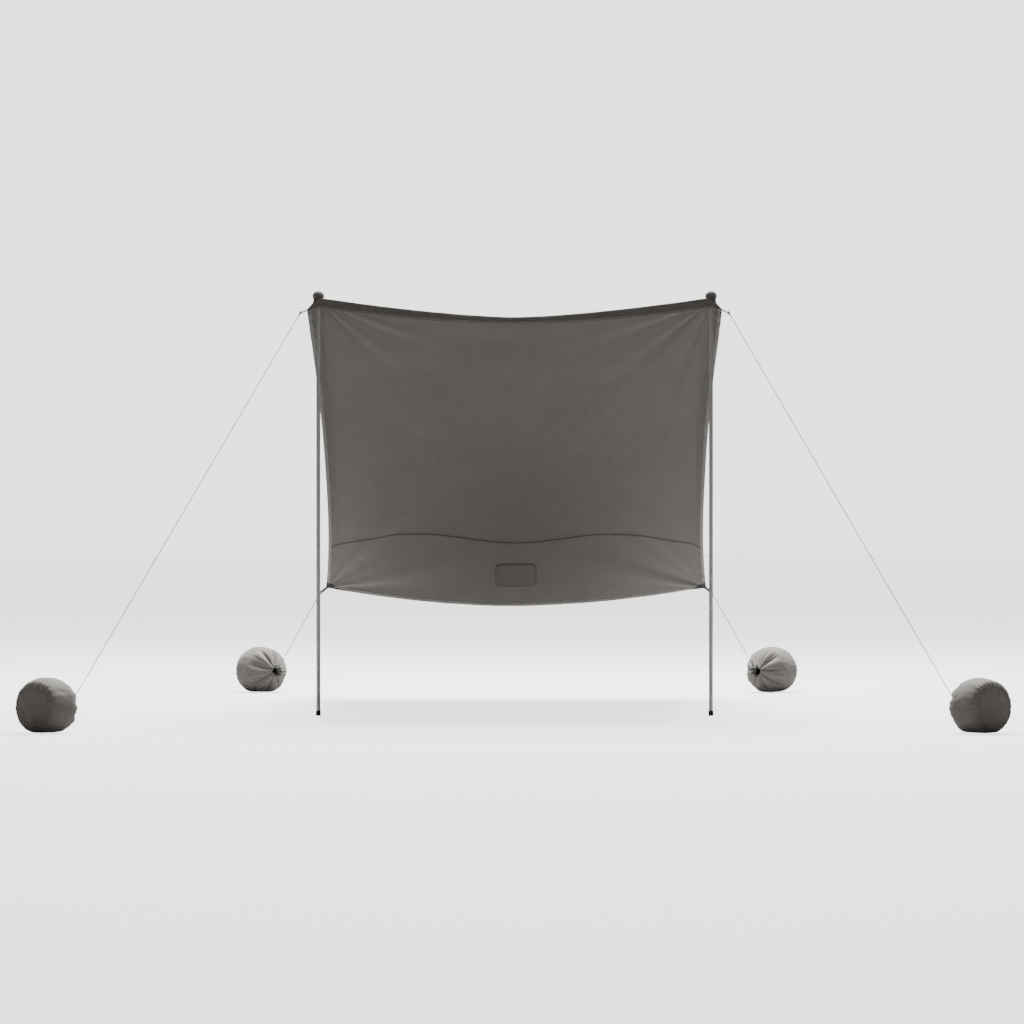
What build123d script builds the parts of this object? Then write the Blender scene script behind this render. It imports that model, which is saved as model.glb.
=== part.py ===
"""Tarp shelter: a stretched canopy on two shock-corded poles, guyed to four sandbags.

Millimetres, +Z up. The origin is on the ground, at the middle of the whole layout. -Y is the open
front, +Y the low rear, and the shelter is symmetric about the YZ plane.
"""

from build123d import *
from math import cos, radians, sin
import os

os.makedirs("parts", exist_ok=True)

# ---- layout on the ground -------------------------------------------------------------------
pole_span = 1848.0  # between the two poles' centre lines
front_bag_reach = 1453.0  # from the line of the poles forward to the front sandbags' centres
rear_bag_reach = 2440.0  # from the line of the poles back to the rear sandbags' centres
front_bag_spread = 1096.0  # from a pole out to the front sandbag's centre
rear_bag_spread = 409.0
bag_yaw = 34.0  # a bag's axis from the Y axis, in degrees

# ---- poles ----------------------------------------------------------------------------------
pole_height = 1996.0  # ground to the top of the pole's cap
pole_diameter = 19.0
pole_wall = 1.2
section_count = 3
ferrule_wall = 1.2
ferrule_length = 104.0
ferrule_slip = 0.08  # radial clearance of a ferrule in the section that slides off it
foot_diameter = 23.0
foot_length = 24.0
foot_base = 9.0  # rubber under the end of the tube
cap_diameter = 42.0
shock_cord_diameter = 3.5

# ---- canopy ---------------------------------------------------------------------------------
canopy_overhang = 51.0  # from a pole's centre line out to the corners
side_inset = 36.0  # how far the side edges curve in between the corners
crest_forward = 26.0  # the front crest stands this far in front of the poles' line
rear_corner_reach = 1850.0  # from the line of the poles back to the rear corners
rear_edge_rise_forward = 130.0  # the middle of the rear edge is this much nearer
crest_drop_middle = 120.0  # from the poles' full height down to the crest
crest_drop_pole = 28.0
crest_drop_corner = 84.0
rear_height_middle = 476.0
rear_height_corner = 568.0
canopy_fullness = 150.0  # how far the middle stands above a straight line from front to rear
panel_thickness = 3.0  # measured upright
seam_depth = 330.0  # from the rear edge forward to the seam across the canopy
hem_width = 18.0
valance_thickness = 2.5
valance_drop_pole = 38.0  # from the crest down to the valance's lower edge
valance_drop_middle = 21.0
valance_drop_corner = 3.0
valance_end_inset = 3.0  # the valance stops this far inside the corners
front_hem_height = 18.0
front_hem_thickness = 5.0
peak_patch_diameter = 92.0
peak_patch_thickness = 1.6
corner_patch_size = 78.0
corner_patch_thickness = 1.6
corner_patch_gap = 0.5  # the patch hangs this far below the sheet, from stitch to stitch

# ---- pockets over the poles' tops -----------------------------------------------------------
pocket_gap = 1.2  # between the cap and the pocket around it
pocket_wall = 2.6
pocket_neck_bore = 35.0
pocket_neck_wall = 1.8
pocket_neck_drop = 60.0  # from the cap's centre down past the canopy, before trimming

# ---- corner straps and guylines -------------------------------------------------------------
strap_width = 20.0
strap_thickness = 3.0
front_strap_length = 48.0
rear_strap_length = 62.0
strap_tuck = 12.0  # how far the strap runs in under the corner
strap_corner_radius = 2.5
strap_eye_diameter = 7.0
strap_eye_edge = 8.0  # from the eye's centre to the strap's end
front_strap_fall = 0.25  # of its run, how much the strap drops
rear_strap_fall = 0.45
guyline_diameter = 3.5
knot_diameter = 9.0
knot_length = 13.0
knot_loop_radius = 6.0
guyline_tuck = 6.0  # how far the guyline runs into the neck of the bag

# ---- sandbags -------------------------------------------------------------------------------
bag_diameter = 243.0
bag_length = 250.0  # flat end to the mouth of the neck
bag_flat = 6.0  # how far the ground flattens the bag
bag_shoulder = 78.0  # the tapering stretch between the barrel and the neck
bag_mouth_length = 16.0  # from the neck to the mouth
bag_wall = 1.6
bag_end_diameter = 176.0
bag_neck_diameter = 34.0
bag_mouth_diameter = 58.0
drawcord_diameter = 4.0

# ---- cord locks on the guylines -------------------------------------------------------------
lock_below = 13.0  # from the guyline to the closed end
lock_above = 9.0  # from the guyline to the end that the plunger comes out of
lock_diameter = 16.0
lock_wall = 2.0
lock_floor = 2.5
lock_gap = 26.0  # along the guyline, from the bag's mouth to the lock's middle
cord_slip = 0.5  # radial clearance of the guyline in the lock
plunger_travel = 4.0
plunger_slip = 0.3
plunger_proud = 7.0
plunger_web = 1.2  # between the slot for the guyline and the plunger's inner end
spring_wire = 0.8
spring_turns = 3.5

# ---- worked out from the sizes above --------------------------------------------------------
pole_y = (front_bag_reach - rear_bag_reach) / 2
bag_y = (front_bag_reach + rear_bag_reach) / 2
pole_x = pole_span / 2
pole_radius = pole_diameter / 2
canopy_half_width = pole_x + canopy_overhang
valance_half_width = canopy_half_width - valance_end_inset
crest_height_middle = pole_height - crest_drop_middle
crest_height_pole = pole_height - crest_drop_pole
crest_height_corner = pole_height - crest_drop_corner
crest_y = pole_y - crest_forward
rear_corner_y = pole_y + rear_corner_reach
bag_height = bag_diameter / 2 - bag_flat
bag_mouth = bag_length / 2 + 5  # from the bag's centre to the mouth, along its axis
bag_back = bag_length - bag_mouth  # from the bag's centre to the flat end
tube_top = pole_height - cap_diameter / 2
section_length = (tube_top - foot_base) / section_count
bore_radius = pole_radius - pole_wall
ferrule_radius = bore_radius - ferrule_slip
cap_centre = pole_height - cap_diameter / 2
pocket_radius = cap_diameter / 2 + pocket_gap


def crest_height(x):
    """Height of the canopy's front crest, lowest in the middle and highest over the poles."""
    share = min(abs(x) / pole_x, 1.0)
    height = crest_height_middle + (crest_height_pole - crest_height_middle) * share**1.5
    beyond = max(abs(x) - pole_x, 0.0) / (canopy_half_width - pole_x)
    return height - (crest_height_pole - crest_height_corner) * beyond


def half_width(v):
    """Half the canopy's width at v, 0 at the crest and 1 at the rear edge."""
    skewed = v**1.25
    return canopy_half_width - side_inset * (1 - abs(2 * skewed - 1) ** 2.5)


def canopy_point(u, v):
    """A point of the canopy's upper face; u runs from -1 at the left edge to 1 at the right."""
    x = u * half_width(v)
    rear_y = rear_corner_y - rear_edge_rise_forward * (1 - abs(u) ** 2.2)
    y = crest_y + v * (rear_y - crest_y)
    front = crest_height(u * canopy_half_width)
    rear = rear_height_middle + (rear_height_corner - rear_height_middle) * abs(u) ** 1.8
    swell = canopy_fullness * (1 - u**2) * 4 * v**1.7 * (1 - v)
    return Vector(x, y, front + v * (rear - front) + swell)


columns = 41
rows = 31
canopy_face = Face.make_surface_from_array_of_points(
    [
        [canopy_point(2 * i / (columns - 1) - 1, j / (rows - 1)) for i in range(columns)]
        for j in range(rows)
    ],
    tol=0.5,
)
canopy_sheet = Solid.extrude(canopy_face, Vector(0, 0, -panel_thickness))
seam_v = 1 - seam_depth / (rear_corner_reach + crest_forward - rear_edge_rise_forward)
hem_u = 1 - hem_width / canopy_half_width
hem_v = 1 - hem_width / (rear_corner_reach - rear_edge_rise_forward)
tall = 4000.0  # taller than anything in the canopy


def plan_region(left, right, near, far):
    """A tall block over a part of the canopy's plan: u from left to right, v from near to far.

    A side that is None lies well outside the canopy.
    """
    margin = 0.35
    u0 = -1 - margin if left is None else left
    u1 = 1 + margin if right is None else right
    v0 = -margin if near is None else near
    v1 = 1 + margin if far is None else far
    steps = [i / 24 for i in range(25)]

    def plan(u, v):
        inside = min(max(v, 0.0), 1.0)
        x = u * half_width(inside)
        rear_y = rear_corner_y - rear_edge_rise_forward * (1 - min(abs(u), 1.0) ** 2.2)
        return (x, crest_y + v * (rear_y - crest_y))

    with BuildPart() as region:
        with BuildSketch(Plane.XY):
            with BuildLine():
                Spline([plan(u0, v0 + s * (v1 - v0)) for s in steps])
                Spline([plan(u0 + s * (u1 - u0), v1) for s in steps])
                Spline([plan(u1, v1 - s * (v1 - v0)) for s in steps])
                Spline([plan(u1 - s * (u1 - u0), v0) for s in steps])
            make_face()
        extrude(amount=tall)
    return region.part


def finish(builder, name):
    """Label a finished piece and write it."""
    builder.part.label = name
    export_step(builder.part, "parts/" + name + ".step")


sides = {"left": -1, "right": 1}
corners = {
    "front_left": (-1, -1),
    "front_right": (1, -1),
    "rear_left": (-1, 1),
    "rear_right": (1, 1),
}

# ---- canopy panels and hems -----------------------------------------------------------------
with BuildPart() as canopy_main_panel:
    add(canopy_sheet)
    add(plan_region(-hem_u, hem_u, None, seam_v), mode=Mode.INTERSECT)
    with BuildSketch(Plane.XY):
        with Locations((-pole_x, pole_y), (pole_x, pole_y)):
            Circle(pocket_neck_bore / 2)
    extrude(amount=tall, mode=Mode.SUBTRACT)
finish(canopy_main_panel, "canopy_main_panel")

with BuildPart() as canopy_rear_panel:
    add(canopy_sheet)
    add(plan_region(-hem_u, hem_u, seam_v, hem_v), mode=Mode.INTERSECT)
finish(canopy_rear_panel, "canopy_rear_panel")

with BuildPart() as rear_hem:
    add(canopy_sheet)
    add(plan_region(-hem_u, hem_u, hem_v, None), mode=Mode.INTERSECT)
finish(rear_hem, "rear_hem")

with BuildPart() as left_hem:
    add(canopy_sheet)
    add(plan_region(None, -hem_u, None, None), mode=Mode.INTERSECT)
finish(left_hem, "left_hem")

with BuildPart() as right_hem:
    add(canopy_sheet)
    add(plan_region(hem_u, None, None, None), mode=Mode.INTERSECT)
finish(right_hem, "right_hem")


# ---- front valance and its hem --------------------------------------------------------------
def valance_bottom(x):
    """Height of the valance's lower edge between the poles."""
    share = (abs(x) / pole_x) ** 1.75
    low = crest_height_middle - valance_drop_middle
    high = crest_height_pole - valance_drop_pole
    return low + (high - low) * share


def hem_bottom(x):
    """Height of the front hem's lower edge between the poles."""
    return valance_bottom(x) - front_hem_height


def front_edge(height_at, corner_drop):
    """A line along the front: a curve from pole to pole, and a straight run out to each corner."""
    steps = [2 * i / 24 - 1 for i in range(25)]
    corner_z = crest_height_corner - corner_drop
    curve = Spline([(s * pole_x, height_at(s * pole_x)) for s in steps])
    Line((-valance_half_width, corner_z), curve @ 0)
    Line(curve @ 1, (valance_half_width, corner_z))


def front_strip(top_at, top_drop, bottom_at, bottom_drop, thickness):
    """An upright strip along the front, between two lines, standing forward of the crest."""
    with BuildPart() as strip:
        with BuildSketch(Plane((0, crest_y, 0), x_dir=(1, 0, 0), z_dir=(0, -1, 0))):
            with BuildLine():
                front_edge(top_at, top_drop)
                front_edge(bottom_at, bottom_drop)
                for end in (-valance_half_width, valance_half_width):
                    Line(
                        (end, crest_height_corner - top_drop),
                        (end, crest_height_corner - bottom_drop),
                    )
            make_face()
        extrude(amount=thickness)
    return strip


front_valance = front_strip(
    crest_height, 0, valance_bottom, valance_drop_corner, valance_thickness
)
finish(front_valance, "front_valance")
front_hem = front_strip(
    valance_bottom,
    valance_drop_corner,
    hem_bottom,
    valance_drop_corner + front_hem_height,
    front_hem_thickness,
)
finish(front_hem, "front_hem")

# ---- peak pockets and their patches ---------------------------------------------------------
under_canopy = Solid.extrude(canopy_face, Vector(0, 0, -pocket_neck_drop * 2))
sheet_above = Solid.extrude(canopy_face, Vector(0, 0, peak_patch_thickness))
neck_radius = pocket_neck_bore / 2
for side, sign in sides.items():
    at_ground = Plane((sign * pole_x, pole_y, 0))
    upright = Plane((sign * pole_x, pole_y, cap_centre), x_dir=(1, 0, 0), z_dir=(0, -1, 0))
    pole_axis = Axis((sign * pole_x, pole_y, 0), (0, 0, 1))
    half_plane = 2 * pocket_neck_drop

    with BuildPart() as peak_pocket:
        with BuildSketch(upright):
            Circle(pocket_radius + pocket_wall)
            with Locations((0, -pocket_neck_drop / 2)):
                Rectangle(2 * (neck_radius + pocket_neck_wall), pocket_neck_drop)
            Circle(pocket_radius, mode=Mode.SUBTRACT)
            with Locations((0, -pocket_neck_drop / 2)):
                Rectangle(2 * neck_radius, pocket_neck_drop, mode=Mode.SUBTRACT)
            with Locations((-half_plane / 2, 0)):
                Rectangle(half_plane, half_plane, mode=Mode.SUBTRACT)
        revolve(axis=pole_axis)
        add(under_canopy, mode=Mode.SUBTRACT)
    finish(peak_pocket, side + "_peak_pocket")

    with BuildPart() as peak_patch:
        add(sheet_above)
        with BuildSketch(at_ground):
            Circle(peak_patch_diameter / 2)
            Circle(pocket_radius + pocket_wall, mode=Mode.SUBTRACT)
        extrude(amount=tall, mode=Mode.INTERSECT)
    finish(peak_patch, side + "_peak_patch")

    # ---- the pole: cap, sections from the top down, ferrules, foot and shock cord ----
    with BuildPart() as pole_cap:
        with BuildSketch(upright):
            Circle(cap_diameter / 2)
            with Locations((0, -cap_diameter / 2)):
                Rectangle(pole_diameter, cap_diameter, mode=Mode.SUBTRACT)
            with Locations((-half_plane / 2, 0)):
                Rectangle(half_plane, half_plane, mode=Mode.SUBTRACT)
        revolve(axis=pole_axis)
    finish(pole_cap, side + "_pole_cap")

    for number, place in enumerate(["upper", "middle", "lower"]):
        top_z = tube_top - number * section_length
        with BuildPart() as section:
            with BuildSketch(at_ground.offset(top_z - section_length)):
                Circle(pole_radius)
                Circle(bore_radius, mode=Mode.SUBTRACT)
            extrude(amount=section_length)
        finish(section, side + "_pole_" + place + "_section")

    for number, place in enumerate(["upper", "lower"]):
        joint_z = tube_top - (number + 1) * section_length
        with BuildPart() as ferrule:
            with BuildSketch(at_ground.offset(joint_z)):
                Circle(bore_radius)
            extrude(amount=ferrule_length / 2)
            with BuildSketch(at_ground.offset(joint_z - ferrule_length / 2)):
                Circle(ferrule_radius)
            extrude(amount=ferrule_length / 2)
            with BuildSketch(at_ground.offset(joint_z - ferrule_length / 2)):
                Circle(ferrule_radius - ferrule_wall)
            extrude(amount=ferrule_length, mode=Mode.SUBTRACT)
        finish(ferrule, side + "_pole_" + place + "_ferrule")

    with BuildPart() as foot:
        with BuildSketch(at_ground):
            Circle(foot_diameter / 2)
        extrude(amount=foot_length)
        chamfer(foot.edges().group_by(Axis.Z)[0], length=1.5)
        with BuildSketch(at_ground.offset(foot_base)):
            Circle(pole_radius)
        extrude(amount=foot_length, mode=Mode.SUBTRACT)
    finish(foot, side + "_pole_foot")

    with BuildPart() as shock_cord:
        with BuildSketch(at_ground.offset(foot_base)):
            Circle(shock_cord_diameter / 2)
        extrude(amount=tube_top - foot_base)
    finish(shock_cord, side + "_pole_shock_cord")

# ---- corner patches -------------------------------------------------------------------------
sheet_below = Solid.extrude(
    canopy_face.moved(Location((0, 0, -panel_thickness - corner_patch_gap))),
    Vector(0, 0, -corner_patch_thickness),
)
with BuildPart() as corner_patches:
    for sign, end in corners.values():
        tip = canopy_point(sign, 0 if end < 0 else 1)
        with BuildSketch(Plane((tip.X, tip.Y, 0))):
            with BuildLine():
                Polyline(
                    (sign * corner_patch_size, end * corner_patch_size),
                    (-sign * corner_patch_size, end * corner_patch_size),
                    (-sign * corner_patch_size, 0),
                    (0, -end * corner_patch_size),
                    (sign * corner_patch_size, -end * corner_patch_size),
                    close=True,
                )
            make_face()
    extrude(amount=tall)
    add(sheet_below, mode=Mode.INTERSECT)
    with BuildSketch(Plane.XY):
        with Locations((-pole_x, pole_y), (pole_x, pole_y)):
            Circle(neck_radius + pocket_neck_wall)
    extrude(amount=tall, mode=Mode.SUBTRACT)
finish(corner_patches, "corner_patches")


# ---- sandbags -------------------------------------------------------------------------------
def bag_plane(sign, end):
    """Upright plane through a bag's axis: x runs out of its mouth, y runs up, from its centre."""
    yaw = radians(bag_yaw)
    spread = front_bag_spread if end < 0 else rear_bag_spread
    out_of_mouth = Vector(-sign * sin(yaw), -end * cos(yaw), 0)
    across = out_of_mouth.cross(Vector(0, 0, 1))
    return Plane((sign * (pole_x + spread), end * bag_y, bag_height), x_dir=out_of_mouth, z_dir=across)


def bag_profile(inward):
    """Half of the bag's outline about its axis, moved in by a wall's thickness."""
    outer = bag_diameter / 2 - inward
    flat = bag_end_diameter / 2 - inward
    neck = bag_neck_diameter / 2 - inward
    back = -bag_back + inward
    neck_x = bag_mouth - bag_mouth_length - 5 * inward  # the neck's folds are solid cloth
    start = Line((back, 0), (back, flat))
    rim = Spline(
        start @ 1,
        (back + 22, outer - 9),
        (back + 62, outer),
        (neck_x - bag_shoulder, outer - 6),
        (neck_x - bag_shoulder * 0.45, outer * 0.68),
        (neck_x, neck),
        tangents=[(0.35, 1), (0.75, -0.6)],
    )
    return rim


bag_places = {name: bag_plane(sign, end) for name, (sign, end) in corners.items()}
with BuildPart() as below_ground:
    with BuildSketch(Plane.XY):
        Rectangle(3 * tall, 3 * tall)
    extrude(amount=-tall)


with BuildPart() as sand_fills:
    for plane in bag_places.values():
        with BuildSketch(plane):
            with BuildLine():
                rim = bag_profile(bag_wall)
                mouth = Line(rim @ 1, ((rim @ 1).X, 0))
                base = Line(mouth @ 1, (-bag_back + bag_wall, 0))
                Line(base @ 1, rim @ 0)
            make_face()
        revolve(axis=Axis(plane.origin, plane.x_dir))
    add(below_ground.part.moved(Location((0, 0, bag_wall))), mode=Mode.SUBTRACT)
finish(sand_fills, "sand_fills")

for name, plane in bag_places.items():
    axis = Axis(plane.origin, plane.x_dir)
    with BuildPart() as bag_shell:
        with BuildSketch(plane):
            with BuildLine():
                rim = bag_profile(0)
                flare = Line(rim @ 1, (bag_mouth, bag_mouth_diameter / 2))
                mouth = Line(flare @ 1, (bag_mouth, 0))
                base = Line(mouth @ 1, (-bag_back, 0))
                Line(base @ 1, rim @ 0)
            make_face()
        revolve(axis=axis)
        add(below_ground.part, mode=Mode.SUBTRACT)
        add(sand_fills.part, mode=Mode.SUBTRACT)
        with BuildSketch(plane):
            with Locations((-bag_back + bag_wall / 2, bag_end_diameter / 4)):
                Rectangle(bag_wall, bag_end_diameter / 2)
        revolve(axis=axis, mode=Mode.SUBTRACT)
    finish(bag_shell, name + "_bag_shell")

    with BuildPart() as bag_end:
        with BuildSketch(plane):
            with Locations((-bag_back + bag_wall / 2, bag_end_diameter / 4)):
                Rectangle(bag_wall, bag_end_diameter / 2)
        revolve(axis=axis)
        add(below_ground.part, mode=Mode.SUBTRACT)
        add(sand_fills.part, mode=Mode.SUBTRACT)
    finish(bag_end, name + "_bag_end")

with BuildPart() as bag_drawcords:
    for plane in bag_places.values():
        with BuildSketch(plane):
            ring_radius = (bag_neck_diameter + drawcord_diameter) / 2
            with Locations((bag_mouth - bag_mouth_length, ring_radius)):
                Circle(drawcord_diameter / 2)
        revolve(axis=Axis(plane.origin, plane.x_dir))
finish(bag_drawcords, "bag_drawcords")

# ---- straps, guylines and their knots -------------------------------------------------------
strap_planes = {}
strap_eyes = {}
guyline_planes = {}
for name, (sign, end) in corners.items():
    plane = bag_places[name]
    tip = canopy_point(sign, 0 if end < 0 else 1) - Vector(0, 0, panel_thickness)
    fall = front_strap_fall if end < 0 else rear_strap_fall
    outward = Vector(-plane.x_dir.X, -plane.x_dir.Y, -fall).normalized()
    flat_across = Vector(0, 0, 1).cross(outward).normalized()
    strap_planes[name] = Plane(tip, x_dir=outward, z_dir=outward.cross(flat_across))

    strap_length = front_strap_length if end < 0 else rear_strap_length
    eye = strap_length - strap_eye_edge
    strap_eyes[name] = eye
    loop_end = tip + outward * (eye + 2 * knot_loop_radius)
    mouth = plane.origin + plane.x_dir * bag_mouth
    line = (mouth - loop_end).normalized()
    guyline_planes[name] = Plane(
        loop_end + line * knot_length, x_dir=Vector(0, 0, 1).cross(line), z_dir=line
    )

    with BuildPart() as corner_strap:
        with BuildSketch(strap_planes[name]):
            with Locations(((strap_length - strap_tuck) / 2, 0)):
                Rectangle(strap_length + strap_tuck, strap_width)
            with Locations((eye, 0)):
                Circle(strap_eye_diameter / 2, mode=Mode.SUBTRACT)
        extrude(amount=-strap_thickness)
        ends = corner_strap.faces().sort_by(Axis(tip, outward))
        upright_edges = ends[-1].edges().filter_by(Axis(tip, strap_planes[name].z_dir))
        fillet(upright_edges, strap_corner_radius)
    finish(corner_strap, name + "_corner_strap")

    run = (mouth - guyline_planes[name].origin).length + guyline_tuck
    with BuildPart() as guyline:
        with BuildSketch(guyline_planes[name]):
            Circle(guyline_diameter / 2)
        extrude(amount=run)
    finish(guyline, name + "_guyline")
    print(name, "guyline", round(run, 1), "mm, straight")

with BuildPart() as corner_knots:
    for name in corners:
        strap = strap_planes[name]
        line = guyline_planes[name]
        eye = strap_eyes[name]
        mid_strap = strap.offset(-strap_thickness / 2)
        with BuildSketch(mid_strap):
            with Locations((eye, 0)):
                Circle(guyline_diameter / 2)
        loop_centre = mid_strap.from_local_coords(Vector(eye + knot_loop_radius, 0, 0))
        revolve(axis=Axis(loop_centre, strap.y_dir))
        with BuildSketch(line.offset(-knot_length)):
            Circle(knot_diameter / 2)
        extrude(amount=knot_length)
finish(corner_knots, "corner_knots")

# ---- cord locks -----------------------------------------------------------------------------
bore = lock_diameter / 2 - lock_wall
plunger_radius = bore - plunger_slip
hole_radius = guyline_diameter / 2 + cord_slip
plunger_inner_end = -hole_radius - plunger_web
spring_height = plunger_inner_end + lock_below - lock_floor
for name in corners:
    line = guyline_planes[name]
    mouth = bag_places[name].origin + bag_places[name].x_dir * bag_mouth
    middle = mouth - line.z_dir * lock_gap
    across = Plane(middle, x_dir=line.z_dir, z_dir=line.x_dir)  # z along the lock's own axis
    along = Plane(middle, x_dir=line.x_dir, z_dir=line.z_dir)  # z along the guyline

    with BuildPart() as lock_body:
        with BuildSketch(across.offset(-lock_below)):
            Circle(lock_diameter / 2)
        extrude(amount=lock_below + lock_above)
        fillet(lock_body.edges(), 1.2)
        with BuildSketch(across.offset(-lock_below + lock_floor)):
            Circle(bore)
        extrude(amount=lock_below + lock_above, mode=Mode.SUBTRACT)
        with BuildSketch(along.offset(-lock_diameter)):
            Circle(hole_radius)
        extrude(amount=2 * lock_diameter, mode=Mode.SUBTRACT)
    finish(lock_body, name + "_lock_body")

    with BuildPart() as lock_plunger:
        with BuildSketch(across.offset(plunger_inner_end)):
            Circle(plunger_radius)
        extrude(amount=lock_above + plunger_proud - plunger_inner_end)
        fillet(lock_plunger.faces().sort_by(Axis(middle, across.z_dir))[-1].edges(), 1.5)
        with BuildSketch(along.offset(-lock_diameter)):
            with Locations((plunger_travel / 2, 0)):
                SlotOverall(plunger_travel + 2 * hole_radius, 2 * hole_radius)
        extrude(amount=2 * lock_diameter, mode=Mode.SUBTRACT)
    finish(lock_plunger, name + "_lock_plunger")

    with BuildPart() as lock_spring:
        with BuildLine() as coil:
            Helix(
                pitch=(spring_height - spring_wire) / spring_turns,
                height=spring_height - spring_wire,
                radius=plunger_radius - spring_wire,
                center=middle + across.z_dir * (lock_floor - lock_below + spring_wire / 2),
                direction=across.z_dir,
            )
        with BuildSketch(Plane(coil.line @ 0, z_dir=coil.line % 0)):
            Circle(spring_wire / 2)
        sweep(is_frenet=True)
    finish(lock_spring, name + "_lock_spring")
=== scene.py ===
"""Looks of the tarp shelter: its cloth, sandbags, lines and small parts, round the CAD frame.

Metres, +Z up, in the CAD's own frame: -Y is the open front and the origin is on the ground.
"""

import math

import bpy
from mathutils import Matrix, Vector, noise

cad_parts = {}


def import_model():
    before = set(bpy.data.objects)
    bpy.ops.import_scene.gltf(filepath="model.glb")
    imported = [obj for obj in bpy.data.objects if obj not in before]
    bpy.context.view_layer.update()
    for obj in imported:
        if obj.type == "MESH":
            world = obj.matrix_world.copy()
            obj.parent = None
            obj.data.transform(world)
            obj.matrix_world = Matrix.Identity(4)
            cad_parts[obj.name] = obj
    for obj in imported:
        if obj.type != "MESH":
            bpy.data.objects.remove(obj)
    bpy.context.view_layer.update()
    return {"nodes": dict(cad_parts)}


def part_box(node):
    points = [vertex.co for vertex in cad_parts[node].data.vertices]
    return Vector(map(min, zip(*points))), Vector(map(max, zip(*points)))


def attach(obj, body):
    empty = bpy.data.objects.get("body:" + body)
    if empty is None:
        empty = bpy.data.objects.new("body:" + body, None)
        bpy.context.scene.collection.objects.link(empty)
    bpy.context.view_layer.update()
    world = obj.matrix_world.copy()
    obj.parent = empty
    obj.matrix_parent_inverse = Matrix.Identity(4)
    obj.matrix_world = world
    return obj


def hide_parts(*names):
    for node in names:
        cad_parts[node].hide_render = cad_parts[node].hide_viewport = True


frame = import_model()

SHELTER = "shelter"
SIDES = {"left": -1, "right": 1}
CORNERS = {
    "front_left": (-1, -1),
    "front_right": (1, -1),
    "rear_left": (-1, 1),
    "rear_right": (1, 1),
}

# ---- sizes shared with the CAD: the poles' from the frame, the rest as the CAD has them ----------
POLE_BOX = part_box("left_pole_lower_section")
POLE_X = -(POLE_BOX[0][0] + POLE_BOX[1][0]) / 2
POLE_Y = (POLE_BOX[0][1] + POLE_BOX[1][1]) / 2
CAP_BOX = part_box("left_pole_cap")
CAP_Z = CAP_BOX[1][2] - (CAP_BOX[1][0] - CAP_BOX[0][0]) / 2
BAG_Y = 1.9465
BAG_HALF_SPAN = {-1: 2.020, 1: 1.333}
BAG_Z = 0.1155
BAG_YAW = math.radians(34)
BAG_BACK = -0.120
BAG_MOUTH = 0.130
GUYLINE_D = 0.0035

# ---- canopy shape, as in the CAD ----------------------------------------------------------------
CANOPY_HALF = 0.975
SIDE_INSET = 0.036
CREST_Y = POLE_Y - 0.026
REAR_Y = POLE_Y + 1.850
REAR_RISE = 0.130
CREST_MID = 1.876
CREST_POLE = 1.968
CREST_CORNER = 1.912
REAR_MID = 0.476
REAR_CORNER = 0.568
VALANCE_DROP_MID = 0.021
VALANCE_DROP_POLE = 0.038
VALANCE_DROP_CORNER = 0.004
FULLNESS = 0.150
SHEET_T = 0.0011
SKIN = 0.0012  # how far the cloth's upper face lies under canopy_base


def mix(a, b, t):
    return a + (b - a) * t


def clamp(t, low=0.0, high=1.0):
    return min(max(t, low), high)


def ease(t):
    t = clamp(t)
    return t * t * (3 - 2 * t)


def crest_height(x):
    share = min(abs(x) / POLE_X, 1.0)
    beyond = max(abs(x) - POLE_X, 0.0) / (CANOPY_HALF - POLE_X)
    return mix(CREST_MID, CREST_POLE, share**1.5) - (CREST_POLE - CREST_CORNER) * beyond


def half_width(v):
    return CANOPY_HALF - SIDE_INSET * (1 - abs(2 * v**1.25 - 1) ** 2.5)


def canopy_base(u, v):
    """The smooth canopy: u from -1 to 1 across, v from 0 at the crest to 1 at the rear edge."""
    rear_y = REAR_Y - REAR_RISE * (1 - abs(u) ** 2.2)
    front = crest_height(u * CANOPY_HALF)
    rear = mix(REAR_MID, REAR_CORNER, abs(u) ** 1.8)
    swell = FULLNESS * (1 - u * u) * 4 * v**1.7 * (1 - v)
    return Vector((u * half_width(v), mix(CREST_Y, rear_y, v), mix(front, rear, v) + swell))


def canopy_normal(u, v):
    step = 0.004
    u0, u1 = max(u - step, -1), min(u + step, 1)
    v0, v1 = max(v - step, 0), min(v + step, 1)
    across = canopy_base(u1, v) - canopy_base(u0, v)
    down = canopy_base(u, v1) - canopy_base(u, v0)
    return across.cross(down).normalized()


CLOTH_L = 2.29


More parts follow.
